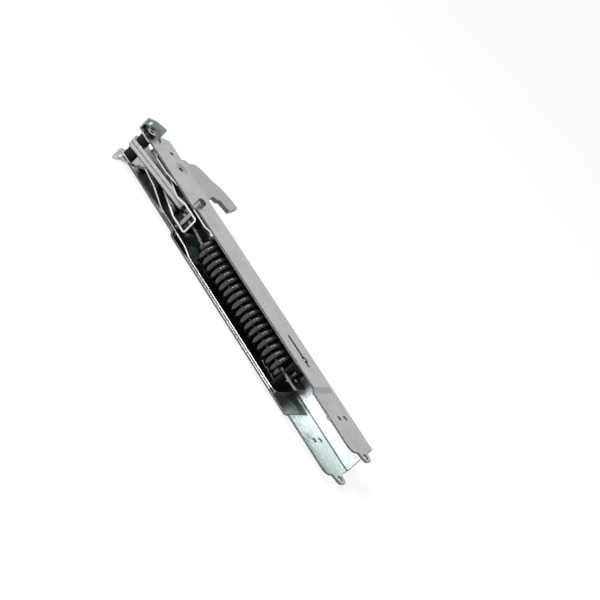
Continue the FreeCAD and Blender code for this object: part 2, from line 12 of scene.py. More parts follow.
import bpy
from mathutils import Euler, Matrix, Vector


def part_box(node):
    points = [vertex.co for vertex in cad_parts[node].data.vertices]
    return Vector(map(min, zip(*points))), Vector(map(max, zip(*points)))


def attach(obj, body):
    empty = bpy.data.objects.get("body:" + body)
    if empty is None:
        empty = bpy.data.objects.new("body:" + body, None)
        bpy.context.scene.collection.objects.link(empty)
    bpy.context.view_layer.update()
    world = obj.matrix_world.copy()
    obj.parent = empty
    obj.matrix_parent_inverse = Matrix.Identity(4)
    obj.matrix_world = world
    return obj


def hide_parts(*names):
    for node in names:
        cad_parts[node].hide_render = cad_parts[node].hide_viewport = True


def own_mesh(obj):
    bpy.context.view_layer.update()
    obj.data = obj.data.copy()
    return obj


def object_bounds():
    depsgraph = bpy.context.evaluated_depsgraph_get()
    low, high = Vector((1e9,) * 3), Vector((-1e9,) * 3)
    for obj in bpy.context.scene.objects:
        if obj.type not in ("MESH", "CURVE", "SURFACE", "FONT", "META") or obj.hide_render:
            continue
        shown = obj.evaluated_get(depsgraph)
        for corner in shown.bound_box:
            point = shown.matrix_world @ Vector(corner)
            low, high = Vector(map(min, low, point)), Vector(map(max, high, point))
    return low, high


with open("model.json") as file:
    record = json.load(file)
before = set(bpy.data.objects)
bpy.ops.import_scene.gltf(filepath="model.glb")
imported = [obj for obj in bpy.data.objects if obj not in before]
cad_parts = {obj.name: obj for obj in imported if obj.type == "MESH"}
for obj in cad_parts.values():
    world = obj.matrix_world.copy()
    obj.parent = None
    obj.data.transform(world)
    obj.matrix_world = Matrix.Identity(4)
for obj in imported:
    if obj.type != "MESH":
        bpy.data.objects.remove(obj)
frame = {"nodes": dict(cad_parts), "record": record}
cad_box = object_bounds()
nodes = frame["nodes"]
MM = 0.001
print("nodes:", len(nodes), "CAD box:", [round(v, 4) for v in (*cad_box[0], *cad_box[1])])

# %% [markdown]
# ## Four small helpers
# Colours are easiest to pick as sRGB hex codes, but shaders work with linear light, so one
# function converts them. Node graphs are long to write out by hand. One function starts a
# material, and one adds a node, sets it up and links its inputs, so each material below reads
# from top to bottom. Wear sits in certain places only, so the last function chains
# comparisons of place and normal into one mask. A Mix node has an A and a B for each type of
# value, so its sockets are told by number, and the numbers get names here.

# %% Colour and node helpers
FACTOR = 0
NUMBER_A = 2
NUMBER_B = 3
NUMBER_OUT = 0
COLOUR_A = 6
COLOUR_B = 7
COLOUR_OUT = 2
BEVEL_SAMPLES = 4


def linear(code):
    """Linear RGBA of an sRGB hex code."""
    channels = []
    for start in (0, 2, 4):
        value = int(code[start : start + 2], 16) / 255
        if value <= 0.04045:
            channels.append(value / 12.92)
        else:
            channels.append(((value + 0.055) / 1.055) ** 2.4)
    return (*channels, 1.0)


def new_finish(name, metallic):
    """New material, with its node tree and its shader."""
    finish = bpy.data.materials.new(name)
    finish.use_nodes = True
    shader = finish.node_tree.nodes["Principled BSDF"]
    shader.inputs["Metallic"].default_value = metallic
    return finish, finish.node_tree, shader


def add_node(tree, kind, settings=None, values=None, links=None):
    """New node with its settings, socket values and incoming links."""
    node = tree.nodes.new(kind)
    for name, value in (settings or {}).items():
        setattr(node, name, value)
    for name, value in (values or {}).items():
        node.inputs[name].default_value = value
    for name, source in (links or {}).items():
        tree.links.new(source, node.inputs[name])
    return node


def all_hold(tree, tests):
    """Socket that is 1 where every (operation, source, limit) test holds, else 0."""
    result = None
    for operation, source, limit in tests:
        test = add_node(
            tree,
            "ShaderNodeMath",
            settings={"operation": operation},
            values={1: limit},
            links={0: source},
        )
        if result:
            test = add_node(
                tree,
                "ShaderNodeMath",
                settings={"operation": "MINIMUM"},
                links={0: test.outputs["Value"], 1: result},
            )
        result = test.outputs["Value"]
    return result


print("white is", linear("ffffff"), "and mid grey is", linear("808080"))

# %% [markdown]
# ## Zinc-plated sheet
# The channel and the latch are folded from cold-rolled sheet that was zinc plated before it
# was cut. The eye sees a satin, slightly blue-green grey with faint lines along the rolling
# direction, fine grain, soft clouds from the passivation bath, and darker bare steel where
# the sheet was cut. That dark tone is also painted shade along the cut edges and in the
# holes. Two things find a cut. The wall of a hole and the rim of a flange lie
# between the flange's two faces and don't face sideways, so place and normal tell them.
# Beside a cut, the Bevel node's rounded normal leans away from the true one. The stretched
# metal at the ends of the pressed bulge is duller, and a dark line is drawn along the joint
# at the carrier's rim. Rolling lines are really about 0.1 mm apart. They are drawn 1.2 mm apart
# here, because finer ones wouldn't show at this picture size.

# %% Zinc-plated sheet
zinc_sheet, tree, shader = new_finish("zinc_plated_sheet", metallic=1.0)
place = add_node(tree, "ShaderNodeTexCoord")
line_spacing = 1.2 * MM
line_length = 90 * MM
stretched = add_node(
    tree,
    "ShaderNodeMapping",
    values={"Scale": (1 / line_length, 1 / line_spacing, 1 / line_spacing)},
    links={"Vector": place.outputs["Object"]},
)
rolled = add_node(
    tree,
    "ShaderNodeTexNoise",
    values={"Scale": 1.0, "Detail": 2.0},
    links={"Vector": stretched.outputs["Vector"]},
)
cloud_size = 22 * MM
clouds = add_node(
    tree,
    "ShaderNodeTexNoise",
    values={"Scale": 1 / cloud_size, "Detail": 3.0, "Roughness": 0.55},
    links={"Vector": place.outputs["Object"]},
)
cloud_mix = add_node(
    tree,
    "ShaderNodeMapRange",
    values={"From Min": 0.3, "From Max": 0.7},
    links={"Value": clouds.outputs["Fac"]},
)
grain_size = 1.5 * MM
grain = add_node(
    tree,
    "ShaderNodeTexNoise",
    values={"Scale": 1 / grain_size, "Detail": 2.0},
    links={"Vector": place.outputs["Object"]},
)
grain_mix = add_node(
    tree,
    "ShaderNodeMapRange",
    values={"From Min": 0.35, "From Max": 0.65},
    links={"Value": grain.outputs["Fac"]},
)
grain_share = 0.55
mottle = add_node(
    tree,
    "ShaderNodeMix",
    values={FACTOR: grain_share},
    links={NUMBER_A: cloud_mix.outputs["Result"], NUMBER_B: grain_mix.outputs["Result"]},
)
tint = add_node(
    tree,
    "ShaderNodeMix",
    settings={"data_type": "RGBA"},
    values={COLOUR_A: linear("a5aeae"), COLOUR_B: linear("c8cdcc")},
    links={FACTOR: mottle.outputs[NUMBER_OUT]},
)
print("rolling lines", round(line_spacing / MM, 1), "mm apart")

# %% Bare steel and painted edge shade where the sheet was cut
cut_edge = 0.8 * MM
rounded = add_node(
    tree, "ShaderNodeBevel", settings={"samples": BEVEL_SAMPLES}, values={"Radius": cut_edge}
)
facing = add_node(tree, "ShaderNodeNewGeometry")
turned = add_node(
    tree,
    "ShaderNodeVectorMath",
    settings={"operation": "DOT_PRODUCT"},
    links={0: rounded.outputs["Normal"], 1: facing.outputs["Normal"]},
)
beside_cut = add_node(
    tree,
    "ShaderNodeMapRange",
    values={"From Min": 0.992, "From Max": 0.93, "To Max": 0.8},
    links={"Value": turned.outputs["Value"]},
)
where = add_node(tree, "ShaderNodeSeparateXYZ", links={"Vector": place.outputs["Object"]})
sideways = add_node(tree, "ShaderNodeSeparateXYZ", links={"Vector": place.outputs["Normal"]})
unsigned = []
for source in (*sideways.outputs, where.outputs["Z"]):
    size = add_node(
        tree, "ShaderNodeMath", settings={"operation": "ABSOLUTE"}, links={0: source}
    )
    unsigned.append(size.outputs["Value"])
normal_x, normal_y, normal_z, off_middle = unsigned
squarely = 0.6
slack = 0.05 * MM
flange_inside = 12.5 * MM
flange_low_end = -22 * MM
flange_pivot_end = -9 * MM
web_inside = -24.5 * MM
web_outside = -26 * MM
web_half_width = 11.4 * MM
in_flange = [
    ("LESS_THAN", normal_z, squarely),
    ("GREATER_THAN", off_middle, flange_inside - slack),
    ("GREATER_THAN", where.outputs["Y"], flange_low_end),
    ("LESS_THAN", where.outputs["X"], flange_pivot_end),
]
in_web = [
    ("LESS_THAN", normal_y, squarely),
    ("LESS_THAN", off_middle, web_half_width),
    ("LESS_THAN", where.outputs["Y"], web_inside + slack),
    ("GREATER_THAN", where.outputs["Y"], web_outside - slack),
]
# Cut edges and hole walls are darkened: bare steel, and also painted shade along them.
bare_steel_and_edge_shade = beside_cut.outputs["Result"]
for tests in (in_flange, in_web):
    bare_steel_and_edge_shade = add_node(
        tree,
        "ShaderNodeMath",
        settings={"operation": "MAXIMUM"},
        links={0: bare_steel_and_edge_shade, 1: all_hold(tree, tests)},
    ).outputs["Value"]
colour = add_node(
    tree,
    "ShaderNodeMix",
    settings={"data_type": "RGBA"},
    values={COLOUR_B: linear("5c6161")},
    links={FACTOR: bare_steel_and_edge_shade, COLOUR_A: tint.outputs[COLOUR_OUT]},
)
print("flange walls from", round(flange_inside / MM, 1), "mm off the middle")

# %% Dull pressed steps and the dark line along the carrier's joint
pressed_slope = 0.25
pressed_step = [
    ("GREATER_THAN", normal_x, pressed_slope),
    ("GREATER_THAN", normal_z, squarely),
]
inward = add_node(
    tree,
    "ShaderNodeMath",
    settings={"operation": "MULTIPLY"},
    links={0: where.outputs["Z"], 1: sideways.outputs["Z"]},
)
inner_face = -5 * MM
joint_low = 4 * MM
joint_high = 6 * MM
joint_ear_end = -246 * MM
joint_pivot_end = -70 * MM
# A dark line is drawn along the joint at the carrier's rim.
along_carrier_rim = [
    ("LESS_THAN", inward.outputs["Value"], inner_face),
    ("GREATER_THAN", where.outputs["Y"], joint_low),
    ("LESS_THAN", where.outputs["Y"], joint_high),
    ("GREATER_THAN", where.outputs["X"], joint_ear_end),
    ("LESS_THAN", where.outputs["X"], joint_pivot_end),
]
pressed = all_hold(tree, pressed_step)
for tone, mask in (("b8bebd", pressed), ("1c1f1f", all_hold(tree, along_carrier_rim))):
    colour = add_node(
        tree,
        "ShaderNodeMix",
        settings={"data_type": "RGBA"},
        values={COLOUR_B: linear(tone)},
        links={FACTOR: mask, COLOUR_A: colour.outputs[COLOUR_OUT]},
    )
print("greased joint", round((joint_pivot_end - joint_ear_end) / MM), "mm long")

# %% Gloss and relief of the zinc
gloss = add_node(
    tree,
    "ShaderNodeMapRange",
    values={"From Min": 0.25, "From Max": 0.75, "To Min": 0.24, "To Max": 0.36},
    links={"Value": rolled.outputs["Fac"]},
)
pressed_roughness = 0.6
dulled = add_node(
    tree,
    "ShaderNodeMix",
    values={NUMBER_B: pressed_roughness},
    links={FACTOR: pressed, NUMBER_A: gloss.outputs["Result"]},
)
line_depth = 0.03 * MM
relief = add_node(
    tree,
    "ShaderNodeBump",
    values={"Strength": 0.12, "Distance": line_depth},
    links={"Height": rolled.outputs["Fac"], "Normal": rounded.outputs["Normal"]},
)
tree.links.new(colour.outputs[COLOUR_OUT], shader.inputs["Base Color"])
tree.links.new(dulled.outputs[NUMBER_OUT], shader.inputs["Roughness"])
tree.links.new(relief.outputs["Normal"], shader.inputs["Normal"])
print(zinc_sheet.name, len(tree.nodes), "nodes")

# %% [markdown]
# ## Oiled dark sheet
# The spring carrier and the fork are plain sheet, kept from rust by dark oil and grease, and
# bright along their edges, where they rub. The rims that face the open side, towards the lamps,
# get a painted highlight; they are told by their normal and their height above the web. The
# oil lies thicker in some places, so the grey is cloudy and the gloss changes with it.

# %% Oiled dark sheet
oiled_sheet, tree, shader = new_finish("oiled_dark_sheet_steel", metallic=1.0)
place = add_node(tree, "ShaderNodeTexCoord")
smear_size = 14 * MM
smears = add_node(
    tree,
    "ShaderNodeTexNoise",
    values={"Scale": 1 / smear_size, "Detail": 4.0, "Roughness": 0.6},
    links={"Vector": place.outputs["Object"]},
)
smear_mix = add_node(
    tree,
    "ShaderNodeMapRange",
    values={"From Min": 0.35, "From Max": 0.65},
    links={"Value": smears.outputs["Fac"]},
)
tint = add_node(
    tree,
    "ShaderNodeMix",
    settings={"data_type": "RGBA"},
    values={COLOUR_A: linear("596464"), COLOUR_B: linear("7b8888")},
    links={FACTOR: smear_mix.outputs["Result"]},
)
print("oil smears", round(smear_size / MM), "mm across")

# %% Rubbed edges and painted rim highlight of the oiled sheet
rubbed_edge = 0.7 * MM
rounded = add_node(
    tree, "ShaderNodeBevel", settings={"samples": BEVEL_SAMPLES}, values={"Radius": rubbed_edge}
)
facing = add_node(tree, "ShaderNodeNewGeometry")
turned = add_node(
    tree,
    "ShaderNodeVectorMath",
    settings={"operation": "DOT_PRODUCT"},
    links={0: rounded.outputs["Normal"], 1: facing.outputs["Normal"]},
)
rubbed = add_node(
    tree,
    "ShaderNodeMapRange",
    values={"From Min": 0.97, "From Max": 0.8, "To Max": 0.6},
    links={"Value": turned.outputs["Value"]},
)
where = add_node(tree, "ShaderNodeSeparateXYZ", links={"Vector": place.outputs["Object"]})
open_side = add_node(tree, "ShaderNodeSeparateXYZ", links={"Vector": place.outputs["Normal"]})
beside_spring = -120 * MM
beside_fork = -100 * MM
rim_beside_spring = 0.0
rim_beside_fork = -21 * MM
rim_level = add_node(
    tree,
    "ShaderNodeMapRange",
    values={
        "From Min": beside_spring,
        "From Max": beside_fork,
        "To Min": rim_beside_spring,
        "To Max": rim_beside_fork,
    },
    links={"Value": where.outputs["X"]},
)
above_rim_level = add_node(
    tree,
    "ShaderNodeMath",
    settings={"operation": "SUBTRACT"},
    links={0: where.outputs["Y"], 1: rim_level.outputs["Result"]},
)
# Rims facing the open side get a painted highlight, pale grey.
rim_painted_highlight = [
    ("GREATER_THAN", open_side.outputs["Y"], squarely),
    ("GREATER_THAN", above_rim_level.outputs["Value"], 0.0),
]
rubbed_edges_and_highlight = add_node(
    tree,
    "ShaderNodeMath",
    settings={"operation": "MAXIMUM"},
    links={0: rubbed.outputs["Result"], 1: all_hold(tree, rim_painted_highlight)},
)
colour = add_node(
    tree,
    "ShaderNodeMix",
    settings={"data_type": "RGBA"},
    values={COLOUR_B: linear("d3d7d7")},
    links={FACTOR: rubbed_edges_and_highlight.outputs["Value"], COLOUR_A: tint.outputs[COLOUR_OUT]},
)
gloss = add_node(
    tree,
    "ShaderNodeMapRange",
    values={"To Min": 0.2, "To Max": 0.36},
    links={"Value": smear_mix.outputs["Result"]},
)
tree.links.new(colour.outputs[COLOUR_OUT], shader.inputs["Base Color"])
tree.links.new(gloss.outputs["Result"], shader.inputs["Roughness"])
tree.links.new(rounded.outputs["Normal"], shader.inputs["Normal"])
print(oiled_sheet.name, len(tree.nodes), "nodes")

# %% [markdown]
# ## Blanked plate
# The hook arm and its side plate are punched from thick plate and plated afterwards. The
# flat faces are matt from tumbling. A finely punched edge has two bands: a wide bright one
# that the punch burnished, and a narrow, rough, darker one where the metal broke away. The
# bands follow the plate's thickness, so they are read from Z, and both plates start their
# bands at a whole number of thicknesses. The hook's edges, outside the channel, are painted
# darker all over, as painted shade for the dark reflection of the web's shaded outer face.

# %% Blanked plate
plate_thickness = 3.8 * MM
blanked_plate, tree, shader = new_finish("blanked_zinc_plated_plate", metallic=1.0)
place = add_node(tree, "ShaderNodeTexCoord")
tumbled_size = 1.6 * MM
tumbled = add_node(
    tree,
    "ShaderNodeTexNoise",
    values={"Scale": 1 / tumbled_size, "Detail": 3.0},
    links={"Vector": place.outputs["Object"]},
)
cloud_size = 18 * MM
clouds = add_node(
    tree,
    "ShaderNodeTexNoise",
    values={"Scale": 1 / cloud_size, "Detail": 2.0},
    links={"Vector": place.outputs["Object"]},
)
face_tint = add_node(
    tree,
    "ShaderNodeMix",
    settings={"data_type": "RGBA"},
    values={COLOUR_A: linear("b0b9b7"), COLOUR_B: linear("c2c7c5")},
    links={FACTOR: clouds.outputs["Fac"]},
)
print("clouds on the plate", round(cloud_size / MM), "mm across")

# %% Punched edge of the plate
height = add_node(tree, "ShaderNodeSeparateXYZ", links={"Vector": place.outputs["Object"]})
thicknesses = add_node(
    tree,
    "ShaderNodeMath",
    settings={"operation": "DIVIDE"},
    values={1: plate_thickness},
    links={0: height.outputs["Z"]},
)
through = add_node(
    tree, "ShaderNodeMath", settings={"operation": "FRACT"}, links={0: thicknesses.outputs["Value"]}
)
raggedness = 0.25
ragged_shift = -0.12
ragged = add_node(
    tree,
    "ShaderNodeMath",
    settings={"operation": "MULTIPLY_ADD"},
    values={1: raggedness, 2: ragged_shift},
    links={0: tumbled.outputs["Fac"]},
)
break_line = add_node(
    tree,
    "ShaderNodeMath",
    settings={"operation": "ADD"},
    links={0: through.outputs["Value"], 1: ragged.outputs["Value"]},
)
burnished = add_node(
    tree,
    "ShaderNodeMapRange",
    values={"From Min": 0.16, "From Max": 0.26},
    links={"Value": break_line.outputs["Value"]},
)
edge_tint = add_node(
    tree,
    "ShaderNodeMix",
    settings={"data_type": "RGBA"},
    values={COLOUR_A: linear("474847"), COLOUR_B: linear("a9adab")},
    links={FACTOR: burnished.outputs["Result"]},
)
# Below this level the hook's edges get painted shade, darker all over.
hook_level = -24 * MM
outside = add_node(
    tree,
    "ShaderNodeMath",
    settings={"operation": "LESS_THAN"},
    values={1: hook_level},
    links={0: height.outputs["Y"]},
)
edge_tint = add_node(
    tree,
    "ShaderNodeMix",
    settings={"data_type": "RGBA"},
    values={COLOUR_B: linear("72716e")},
    links={FACTOR: outside.outputs["Value"], COLOUR_A: edge_tint.outputs[COLOUR_OUT]},
)
upright = add_node(tree, "ShaderNodeSeparateXYZ", links={"Vector": place.outputs["Normal"]})
level = add_node(
    tree, "ShaderNodeMath", settings={"operation": "ABSOLUTE"}, links={0: upright.outputs["Z"]}
)
edge_lean = 0.5
on_edge = add_node(
    tree,
    "ShaderNodeMath",
    settings={"operation": "LESS_THAN"},
    values={1: edge_lean},
    links={0: level.outputs["Value"]},
)
colour = add_node(
    tree,
    "ShaderNodeMix",
    settings={"data_type": "RGBA"},
    links={
        FACTOR: on_edge.outputs["Value"],
        COLOUR_A: face_tint.outputs[COLOUR_OUT],
        COLOUR_B: edge_tint.outputs[COLOUR_OUT],
    },
)
print("hook below", round(hook_level / MM), "mm")

# %% Gloss and relief of the plate
gloss = add_node(
    tree,
    "ShaderNodeMapRange",
    values={"From Min": 0.3, "From Max": 0.7, "To Min": 0.38, "To Max": 0.52},
    links={"Value": tumbled.outputs["Fac"]},
)
tumbled_edge = 0.5 * MM
tumbled_depth = 0.05 * MM
rounded = add_node(
    tree, "ShaderNodeBevel", settings={"samples": BEVEL_SAMPLES}, values={"Radius": tumbled_edge}
)
relief = add_node(
    tree,
    "ShaderNodeBump",
    values={"Strength": 0.2, "Distance": tumbled_depth},
    links={"Height": tumbled.outputs["Fac"], "Normal": rounded.outputs["Normal"]},
)
tree.links.new(colour.outputs[COLOUR_OUT], shader.inputs["Base Color"])
tree.links.new(gloss.outputs["Result"], shader.inputs["Roughness"])
tree.links.new(relief.outputs["Normal"], shader.inputs["Normal"])
print(blanked_plate.name, len(tree.nodes), "nodes")

# %% [markdown]
# ## Turned and headed rivets
# Pins and rivets are turned or cold headed from wire and plated with the rest. Their heads
# carry the marks of the setting tool, so the surface is a little darker and more broken
# than the sheet. On the pivot pin, a bright ring on the tip is a painted highlight, and the
# round sides, the head and the dimple in its end are painted shade, nearly black. A dark ring
# is drawn on the ends of the carrier's two tall rivets. All the pins lie along Z, so the
# normal tells a side.

# %% Rivet steel
rivet_steel, tree, shader = new_finish("zinc_plated_rivet_steel", metallic=1.0)
place = add_node(tree, "ShaderNodeTexCoord")
mark_size = 1.1 * MM
marks = add_node(
    tree,
    "ShaderNodeTexNoise",
    values={"Scale": 1 / mark_size, "Detail": 3.0, "Roughness": 0.6},
    links={"Vector": place.outputs["Object"]},
)
tint = add_node(
    tree,
    "ShaderNodeMix",
    settings={"data_type": "RGBA"},
    values={COLOUR_A: linear("7d8484"), COLOUR_B: linear("b4baba")},
    links={FACTOR: marks.outputs["Fac"]},
)
sideways = add_node(tree, "ShaderNodeSeparateXYZ", links={"Vector": place.outputs["Normal"]})
lean = add_node(
    tree, "ShaderNodeMath", settings={"operation": "ABSOLUTE"}, links={0: sideways.outputs["Z"]}
)
round_sides = add_node(
    tree,
    "ShaderNodeMapRange",
    values={"From Min": 0.9, "From Max": 0.6},
    links={"Value": lean.outputs["Value"]},
)
where = add_node(tree, "ShaderNodeSeparateXYZ", links={"Vector": place.outputs["Object"]})
# The pivot pin's round sides get painted shade, nearly black.
pivot_zone = -20 * MM
at_pivot = add_node(
    tree,
    "ShaderNodeMath",
    settings={"operation": "GREATER_THAN"},
    values={1: pivot_zone},
    links={0: where.outputs["X"]},
)
side_tint = add_node(
    tree,
    "ShaderNodeMix",
    settings={"data_type": "RGBA"},
    values={COLOUR_A: linear("8c9292"), COLOUR_B: linear("303434")},
    links={FACTOR: at_pivot.outputs["Value"]},
)
colour = add_node(
    tree,
    "ShaderNodeMix",
    settings={"data_type": "RGBA"},
    links={
        FACTOR: round_sides.outputs["Result"],
        COLOUR_A: tint.outputs[COLOUR_OUT],
        COLOUR_B: side_tint.outputs[COLOUR_OUT],
    },
)
print("tool marks", round(mark_size / MM, 1), "mm across")

# %% Painted highlight and shade round the pivot pin, and dark rings on the rivets
off_middle = add_node(
    tree, "ShaderNodeMath", settings={"operation": "ABSOLUTE"}, links={0: where.outputs["Z"]}
)
in_plan = add_node(
    tree, "ShaderNodeCombineXYZ", links={"X": where.outputs["X"], "Y": where.outputs["Y"]}
)
carrier_rivet_axis = (-83.5 * MM, -4.4 * MM, 0)
pivot_axis = (-7.5 * MM, 0, 0)
from_axes = []
for axis in (carrier_rivet_axis, pivot_axis):
    from_axis = add_node(
        tree,
        "ShaderNodeVectorMath",
        settings={"operation": "DISTANCE"},
        values={1: axis},
        links={0: in_plan.outputs["Vector"]},
    )
    from_axes.append(from_axis.outputs["Value"])
from_carrier_rivet, from_pivot = from_axes
flat_end = 0.7
rivet_end = 17.5 * MM
ring_inner_radius = 1.9 * MM
pin_end = 12 * MM
dimple_radius = 1.8 * MM
tip_radius = 3.7 * MM
head_radius = 5.5 * MM
carrier_rivet_ring = [
    ("GREATER_THAN", off_middle.outputs["Value"], rivet_end),
    ("GREATER_THAN", from_carrier_rivet, ring_inner_radius),
]
pivot_dimple_painted_shade = [
    ("GREATER_THAN", off_middle.outputs["Value"], pin_end),
    ("LESS_THAN", from_pivot, dimple_radius),
]
pivot_tip_painted_highlight = [
    ("GREATER_THAN", lean.outputs["Value"], flat_end),
    ("GREATER_THAN", from_pivot, dimple_radius),
    ("LESS_THAN", from_pivot, tip_radius),
]
pivot_head_painted_shade = [
    ("GREATER_THAN", lean.outputs["Value"], flat_end),
    ("GREATER_THAN", from_pivot, tip_radius),
    ("LESS_THAN", from_pivot, head_radius),
]
# The pivot's tip ring is a painted highlight; its dimple and head are painted shade.
marked = [
    ("2c3030", carrier_rivet_ring),
    ("101212", pivot_dimple_painted_shade),
    ("eef0f0", pivot_tip_painted_highlight),
    ("1d2020", pivot_head_painted_shade),
]
for tone, tests in marked:
    colour = add_node(
        tree,
        "ShaderNodeMix",
        settings={"data_type": "RGBA"},
        values={COLOUR_B: linear(tone)},
        links={FACTOR: all_hold(tree, tests), COLOUR_A: colour.outputs[COLOUR_OUT]},
    )
print("marked places:", len(marked))

# %% Gloss and relief of the rivets
gloss = add_node(
    tree,
    "ShaderNodeMapRange",
    values={"From Min": 0.3, "From Max": 0.7, "To Min": 0.26, "To Max": 0.42},
    links={"Value": marks.outputs["Fac"]},
)
mark_depth = 0.04 * MM
relief = add_node(
    tree,
    "ShaderNodeBump",
    values={"Strength": 0.2, "Distance": mark_depth},
    links={"Height": marks.outputs["Fac"]},
)
tree.links.new(colour.outputs[COLOUR_OUT], shader.inputs["Base Color"])
tree.links.new(gloss.outputs["Result"], shader.inputs["Roughness"])
tree.links.new(relief.outputs["Normal"], shader.inputs["Normal"])
print(rivet_steel.name, len(tree.nodes), "nodes")

# %% [markdown]
# ## Oiled plain steel
# The tie plate is left unplated and oiled. Plain steel is a warmer, darker grey than zinc,
# and the oil film lies in patches that are smoother than the bare metal between them.

# %% Oiled steel
oiled_steel, tree, shader = new_finish("oiled_plain_steel", metallic=1.0)
place = add_node(tree, "ShaderNodeTexCoord")
film_size = 7 * MM
film = add_node(
    tree,
    "ShaderNodeTexNoise",
    values={"Scale": 1 / film_size, "Detail": 4.0, "Roughness": 0.6},
    links={"Vector": place.outputs["Object"]},
)
patches = add_node(
    tree,
    "ShaderNodeMapRange",
    values={"From Min": 0.38, "From Max": 0.62},
    links={"Value": film.outputs["Fac"]},
)
colour = add_node(
    tree,
    "ShaderNodeMix",
    settings={"data_type": "RGBA"},
    values={COLOUR_A: linear("6c6d6b"), COLOUR_B: linear("8b8c89")},
    links={FACTOR: patches.outputs["Result"]},
)
gloss = add_node(
    tree,
    "ShaderNodeMapRange",
    values={"To Min": 0.26, "To Max": 0.48},
    links={"Value": patches.outputs["Result"]},
)
tree.links.new(colour.outputs[COLOUR_OUT], shader.inputs["Base Color"])
tree.links.new(gloss.outputs["Result"], shader.inputs["Roughness"])
print(oiled_steel.name, len(tree.nodes), "nodes")

# %% [markdown]
# ## Oil-tempered spring wire
# Spring wire is drawn, hardened and tempered in oil, which leaves a thin black oxide that is
# still smooth from the die. It is nearly black, with sharp highlights under its oil. A clear
# coat over a dark base gives both.

# %% Black spring wire
spring_wire_steel, tree, shader = new_finish("oil_tempered_spring_wire", metallic=0.0)
shader.inputs["Specular IOR Level"].default_value = 0.1
shader.inputs["Coat Weight"].default_value = 0.8
shader.inputs["Coat IOR"].default_value = 1.65
shader.inputs["Coat Roughness"].default_value = 0.04

place = add_node(tree, "ShaderNodeTexCoord")
scale_size = 3 * MM
oxide = add_node(
    tree,
    "ShaderNodeTexNoise",
    values={"Scale": 1 / scale_size, "Detail": 3.0},
    links={"Vector": place.outputs["Object"]},
)
colour = add_node(
    tree,
    "ShaderNodeMix",
    settings={"data_type": "RGBA"},
    values={COLOUR_A: linear("0e0f10"), COLOUR_B: linear("1b1c1e")},
    links={FACTOR: oxide.outputs["Fac"]},
)
gloss = add_node(
    tree,
    "ShaderNodeMapRange",
    values={"From Min": 0.3, "From Max": 0.7, "To Min": 0.22, "To Max": 0.4},
    links={"Value": oxide.outputs["Fac"]},
)
tree.links.new(colour.outputs[COLOUR_OUT], shader.inputs["Base Color"])
tree.links.new(gloss.outputs["Result"], shader.inputs["Roughness"])
print(spring_wire_steel.name, len(tree.nodes), "nodes")

# %% [markdown]
# ## Black bushes and spring seat
# The two bushes beside the arm's eye and the spring's seat are phosphated, a dull charcoal
# crystal coat that holds oil. Small crystals scatter light, so the surface is rough and
# nearly without gloss. The seat's nibs slide in the channel's slits, so their tips, the only
# part this far from the middle, are rubbed pale.

# %% Phosphated bush
phosphated_bush, tree, shader = new_finish("phosphated_steel_bush", metallic=0.0)
shader.inputs["Specular IOR Level"].default_value = 0.15

place = add_node(tree, "ShaderNodeTexCoord")
crystal_size = 0.8 * MM
crystals = add_node(
    tree,
    "ShaderNodeTexNoise",
    values={"Scale": 1 / crystal_size, "Detail": 2.0},
    links={"Vector": place.outputs["Object"]},
)
tint = add_node(
    tree,
    "ShaderNodeMix",
    settings={"data_type": "RGBA"},
    values={COLOUR_A: linear("0b0c0d"), COLOUR_B: linear("161718")},
    links={FACTOR: crystals.outputs["Fac"]},
)
where = add_node(tree, "ShaderNodeSeparateXYZ", links={"Vector": place.outputs["Object"]})
off_middle = add_node(
    tree, "ShaderNodeMath", settings={"operation": "ABSOLUTE"}, links={0: where.outputs["Z"]}
)
nib_tip_from = 14.5 * MM
nib_tip = add_node(
    tree,
    "ShaderNodeMath",
    settings={"operation": "GREATER_THAN"},
    values={1: nib_tip_from},
    links={0: off_middle.outputs["Value"]},
)
colour = add_node(
    tree,
    "ShaderNodeMix",
    settings={"data_type": "RGBA"},
    values={COLOUR_B: linear("d2d4d3")},
    links={FACTOR: nib_tip.outputs["Value"], COLOUR_A: tint.outputs[COLOUR_OUT]},
)
gloss = add_node(
    tree,
    "ShaderNodeMapRange",
    values={"From Min": 0.3, "From Max": 0.7, "To Min": 0.5, "To Max": 0.68},
    links={"Value": crystals.outputs["Fac"]},
)
tree.links.new(colour.outputs[COLOUR_OUT], shader.inputs["Base Color"])
tree.links.new(gloss.outputs["Result"], shader.inputs["Roughness"])
print(phosphated_bush.name, len(tree.nodes), "nodes")

# %% [markdown]
# ## Which piece is made of what
# Each solid takes one finish. The table goes by the material slot that the part's record
# gives to each node, so a node is never forgotten.

# %% Give the solids their metals
finishes = {
    "zinc_sheet": zinc_sheet,
    "oiled_sheet": oiled_sheet,
    "plate_steel": blanked_plate,
    "rivet_steel": rivet_steel,
    "oiled_steel": oiled_steel,
    "black_spring_steel": spring_wire_steel,
    "black_phosphate": phosphated_bush,
}
for subpart in frame["record"]["subparts"]:
    solid = nodes[subpart["node"]]
    solid.material_slots[0].material = finishes[subpart["material_slot"]]

# %% [markdown]
# ## The coil spring
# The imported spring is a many-sided wire in short straight lengths, which is plenty for
# physics. The picture wants round wire. A circle is added beside the spring's axis and a
# Screw modifier winds it. The end turns lie closed, wire against wire, so three windings are
# made: one closed turn, the open turns and one more closed turn. Each begins where the last
# one ended, so merging joins them into one wire.

